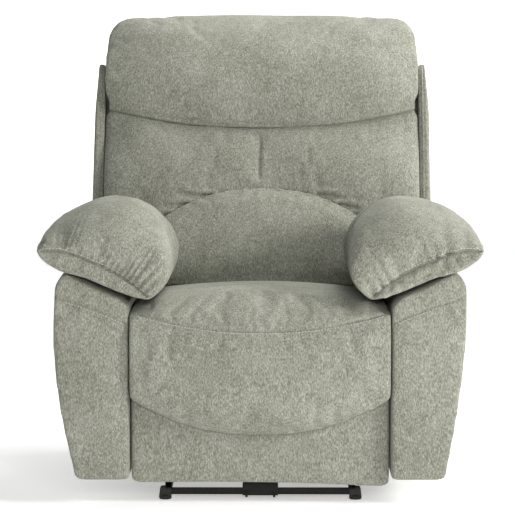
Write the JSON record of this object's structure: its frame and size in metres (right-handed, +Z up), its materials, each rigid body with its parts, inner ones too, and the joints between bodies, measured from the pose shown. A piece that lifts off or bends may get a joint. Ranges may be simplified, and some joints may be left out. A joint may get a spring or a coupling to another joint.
{
  "type": "recliner armchair",
  "caption": "Upholstered power recliner with pillow arms and a tall padded back: the chaise footrest swings out and the back reclines while the seat moves forward.",
  "frame": {"origin": "centre of the footprint, on the floor", "axes": "+X towards the sitter's left, +Y towards the back of the chair, +Z up"},
  "size_m": [0.9382, 0.9356, 1.0323],
  "materials": {
    "upholstery": "matte",
    "plywood": "matte",
    "frame_timber": "matte",
    "black_steel": "satin",
    "spring_steel": "satin",
    "black_plastic": "matte",
    "button_rubber": "matte"
  },
  "bodies": {
    "base": {"base_rail_left": "black_steel", "base_rail_right": "black_steel", "front_tube": "black_steel", "rear_tube": "black_steel", "front_foot_left": "black_plastic", "front_foot_right": "black_plastic", "rear_foot_left": "black_plastic", "rear_foot_right": "black_plastic", "actuator_bracket": "black_steel", "actuator_motor": "black_plastic", "actuator_track": "spring_steel", "arm_cover_left": "upholstery", "arm_cover_right": "upholstery", "arm_frame_left": "plywood", "arm_frame_right": "plywood", "arm_pad_left": "upholstery", "arm_pad_right": "upholstery", "rear_lower_panel": "upholstery", "switch_plate": "black_plastic"},
    "seat": {"seat_side_plate_left": "black_steel", "seat_side_plate_right": "black_steel", "seat_front_rail": "frame_timber", "seat_rear_rail": "frame_timber", "seat_spring_1": "spring_steel", "seat_spring_2": "spring_steel", "seat_spring_3": "spring_steel", "seat_cushion": "upholstery"},
    "back": {"back_post_left": "frame_timber", "back_post_right": "frame_timber", "back_top_rail": "frame_timber", "back_lower_rail": "frame_timber", "back_bracket_left": "black_steel", "back_bracket_right": "black_steel", "back_rear_panel": "upholstery", "back_wing_left": "upholstery", "back_wing_right": "upholstery", "mid_back_pad": "upholstery", "lumbar_pad": "upholstery", "head_pad": "upholstery"},
    "footrest": {"footrest_board": "plywood", "footrest_panel": "upholstery", "chaise_pad": "upholstery", "footrest_bracket_left": "black_steel", "footrest_bracket_right": "black_steel"},
    "rear_links": {"rear_link_left": "black_steel", "rear_link_right": "black_steel", "drive_tube": "black_steel"},
    "front_links": {"front_link_left": "black_steel", "front_link_right": "black_steel"},
    "upper_outer_links": {"upper_outer_link_left": "black_steel", "upper_outer_link_right": "black_steel"},
    "lower_outer_links": {"lower_outer_link_left": "black_steel", "lower_outer_link_right": "black_steel"},
    "drive_nut": {"drive_nut": "black_plastic"},
    "front_swing_links": {"front_swing_link_left": "black_steel", "front_swing_link_right": "black_steel"},
    "rear_swing_links": {"rear_swing_link_left": "black_steel", "rear_swing_link_right": "black_steel"},
    "open_button": {"open_button": "button_rubber"},
    "close_button": {"close_button": "button_rubber"}
  },
  "joints": [
    {"name": "seat_slide", "type": "slide", "parent": "base", "child": "seat", "axis": [0, -1, 0], "range_m": [0, 0.08551]},
    {"name": "back_recline", "type": "hinge", "parent": "seat", "child": "back", "pos_m": [0, 0.15, 0.33], "axis": [-1, 0, 0], "range_deg": [0, 38]},
    {"name": "front_swing", "type": "hinge", "parent": "base", "child": "front_swing_links", "pos_m": [0, -0.3, 0.062], "axis": [1, 0, 0], "range_deg": [0, 40]},
    {"name": "rear_swing", "type": "hinge", "parent": "base", "child": "rear_swing_links", "pos_m": [0, 0.06, 0.062], "axis": [1, 0, 0], "range_deg": [0, 40]},
    {"name": "footrest_open", "type": "hinge", "parent": "seat", "child": "footrest", "pos_m": [0, -0.432, 0.392], "axis": [-1, 0, 0], "range_deg": [0, 88]},
    {"name": "rear_link_turn", "type": "hinge", "parent": "seat", "child": "rear_links", "pos_m": [0, -0.12, 0.222], "axis": [-1, 0, 0], "range_deg": [0, 88]},
    {"name": "front_link_turn", "type": "hinge", "parent": "seat", "child": "front_links", "pos_m": [0, -0.198, 0.2645], "axis": [-1, 0, 0], "range_deg": [0, 88]},
    {"name": "upper_outer_link_turn", "type": "hinge", "parent": "rear_links", "child": "upper_outer_links", "pos_m": [0, -0.064, 0.13], "axis": [-1, 0, 0], "range_deg": [-88, 0]},
    {"name": "lower_outer_link_turn", "type": "hinge", "parent": "front_links", "child": "lower_outer_links", "pos_m": [0, -0.0972, 0.0989], "axis": [-1, 0, 0], "range_deg": [-88, 0]},
    {"name": "drive_nut_travel", "type": "slide", "parent": "seat", "child": "drive_nut", "axis": [0, -1, 0], "range_m": [0, 0.11809]},
    {"name": "open_button_press", "type": "slide", "parent": "base", "child": "open_button", "axis": [1, 0, 0], "range_m": [0, 0.0015], "stiffness_N_per_m": 600, "springref_m": -0.001},
    {"name": "close_button_press", "type": "slide", "parent": "base", "child": "close_button", "axis": [1, 0, 0], "range_m": [0, 0.0015], "stiffness_N_per_m": 600, "springref_m": -0.001}
  ],
  "couplings": [
    {"joint": "seat_slide", "follows": "back_recline", "m_per_rad": 0.12892},
    {"joint": "front_swing", "follows": "back_recline", "ratio": 1.0526},
    {"joint": "rear_swing", "follows": "back_recline", "ratio": 1.0526},
    {"joint": "rear_link_turn", "follows": "footrest_open", "ratio": 1},
    {"joint": "front_link_turn", "follows": "footrest_open", "ratio": 1},
    {"joint": "upper_outer_link_turn", "follows": "footrest_open", "ratio": -1},
    {"joint": "lower_outer_link_turn", "follows": "footrest_open", "ratio": -1},
    {"joint": "drive_nut_travel", "follows": "footrest_open", "m_per_rad": 0.076888}
  ]
}
